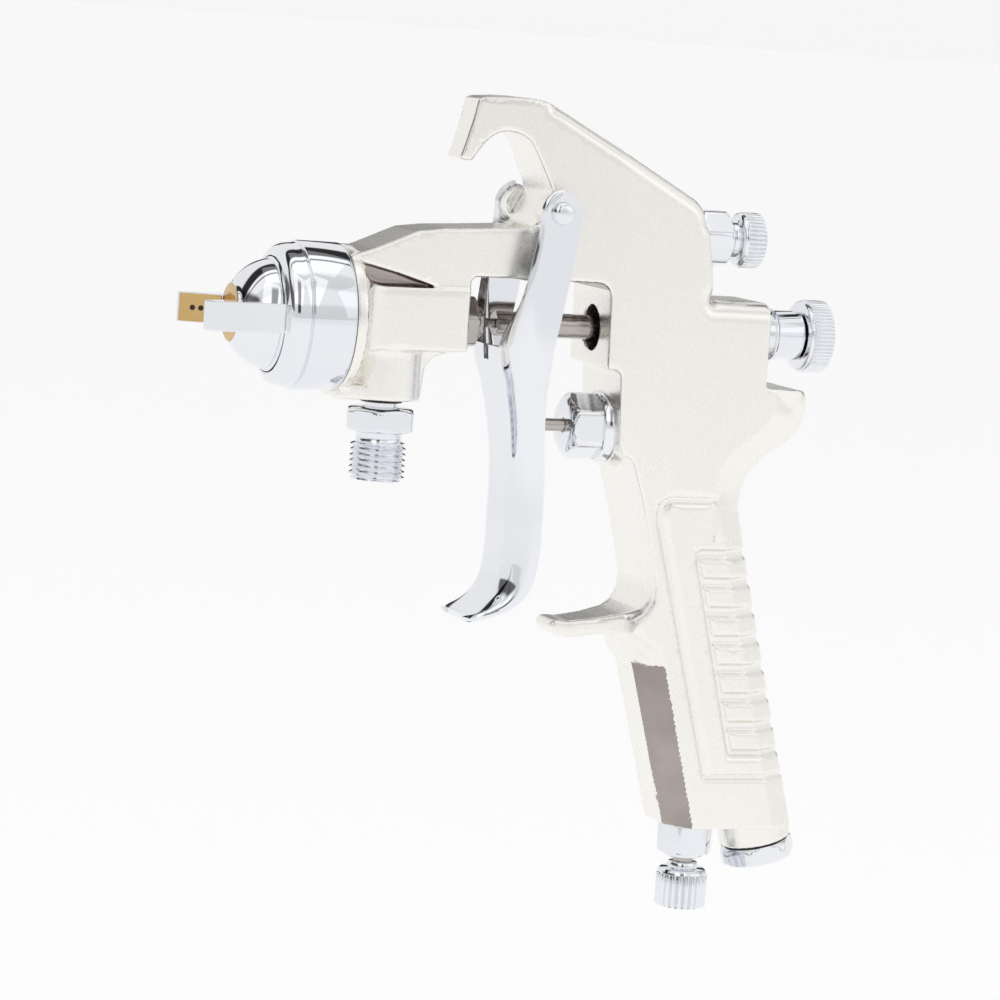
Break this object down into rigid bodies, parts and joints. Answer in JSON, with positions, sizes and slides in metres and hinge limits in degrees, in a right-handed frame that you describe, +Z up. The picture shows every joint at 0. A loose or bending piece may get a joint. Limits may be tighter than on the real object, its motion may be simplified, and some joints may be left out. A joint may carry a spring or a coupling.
{
  "type": "pressure-feed spray gun",
  "caption": "Hand-held pressure-feed air spray gun with a hooked top, raked ribbed grip, long trigger, horned air cap, lower fluid inlet and knurled adjusting knobs.",
  "frame": {"origin": "centre of the fluid inlet's lower end face", "axes": "+Z up, the nozzle points along -X, +Y is the gun's right-hand side; the fluid inlet points along -Z"},
  "size_m": [0.1615, 0.037, 0.1924],
  "materials": {
    "casting": "satin nickel-plated casting, edges polished bright",
    "chrome": "mirror chrome plate",
    "brass": "bright machined brass",
    "steel": "smooth ground stainless steel",
    "spring_steel": "bright drawn spring wire",
    "seal": "white fluoropolymer packing",
    "rubber": "black seal rubber"
  },
  "bodies": {
    "gun": {"gun_body": "casting", "fluid_nozzle": "brass", "air_distributor": "brass", "fluid_inlet_nipple": "chrome", "nipple_washer": "rubber", "needle_packing": "seal", "packing_nut": "chrome", "needle_guide": "chrome", "pivot_pin": "steel", "pivot_screw": "steel", "air_valve_body": "chrome", "pattern_gland": "chrome", "pattern_seal": "seal", "regulator_gland": "chrome", "regulator_seal": "seal", "air_inlet_fitting": "chrome", "air_inlet_washer": "rubber", "needle_spring": "spring_steel", "air_valve_spring": "spring_steel"},
    "cap_ring": {"air_cap_ring": "chrome"},
    "air_cap": {"air_cap": "chrome"},
    "trigger": {"trigger": "chrome"},
    "needle": {"fluid_needle": "steel", "needle_pusher": "steel"},
    "valve_stem": {"air_valve_stem": "steel", "air_valve_poppet": "steel"},
    "fluid_screw": {"fluid_screw": "steel"},
    "fluid_knob": {"fluid_knob": "chrome"},
    "pattern_spindle": {"pattern_spindle": "steel"},
    "pattern_knob": {"pattern_knob": "chrome"},
    "regulator_spindle": {"regulator_spindle": "steel"},
    "regulator_knob": {"regulator_knob": "chrome"}
  },
  "joints": [
    {"name": "trigger_pull", "type": "hinge", "parent": "gun", "child": "trigger", "pos_m": [0.0354, 0, 0.0647], "axis": [0, -1, 0], "range_deg": [0, 12], "stiffness_Nm_per_rad": 3.8, "springref_deg": -22.92},
    {"name": "needle_slide", "type": "slide", "parent": "gun", "child": "needle", "axis": [1, 0, 0], "range_m": [0, 0.0062], "deforming": ["needle_spring"]},
    {"name": "valve_slide", "type": "slide", "parent": "gun", "child": "valve_stem", "axis": [1, 0, 0], "range_m": [0, 0.0111], "deforming": ["air_valve_spring"]},
    {"name": "air_cap_turn", "type": "hinge", "parent": "gun", "child": "air_cap", "pos_m": [-0.028, 0, 0.0375], "axis": [1, 0, 0], "range_deg": [-90, 90]},
    {"name": "ring_turn", "type": "hinge", "parent": "gun", "child": "cap_ring", "pos_m": [-0.018, 0, 0.0375], "axis": [1, 0, 0], "range_deg": [0, 180]},
    {"name": "fluid_travel", "type": "slide", "parent": "gun", "child": "fluid_screw", "axis": [1, 0, 0], "range_m": [0, 0.00224]},
    {"name": "fluid_turn", "type": "hinge", "parent": "fluid_screw", "child": "fluid_knob", "pos_m": [0.107, 0, 0.0375], "axis": [1, 0, 0], "range_deg": [0, 1080]},
    {"name": "pattern_travel", "type": "slide", "parent": "gun", "child": "pattern_spindle", "axis": [1, 0, 0], "range_m": [0, 0.00149]},
    {"name": "pattern_turn", "type": "hinge", "parent": "pattern_spindle", "child": "pattern_knob", "pos_m": [0.089, 0, 0.0598], "axis": [1, 0, 0], "range_deg": [0, 720]},
    {"name": "regulator_travel", "type": "slide", "parent": "gun", "child": "regulator_spindle", "axis": [0, 0, -1], "range_m": [0, 0.00149]},
    {"name": "regulator_turn", "type": "hinge", "parent": "regulator_spindle", "child": "regulator_knob", "pos_m": [0.0851, 0, -0.0972], "axis": [0, 0, -1], "range_deg": [0, 720]}
  ],
  "couplings": [
    {"joint": "needle_slide", "follows": "trigger_pull", "m_per_rad": 0.029},
    {"joint": "valve_slide", "follows": "trigger_pull", "m_per_rad": 0.0522},
    {"joint": "fluid_turn", "follows": "fluid_travel", "rad_per_m": 8377.6},
    {"joint": "pattern_turn", "follows": "pattern_travel", "rad_per_m": 8377.6},
    {"joint": "regulator_turn", "follows": "regulator_travel", "rad_per_m": 8377.6}
  ]
}
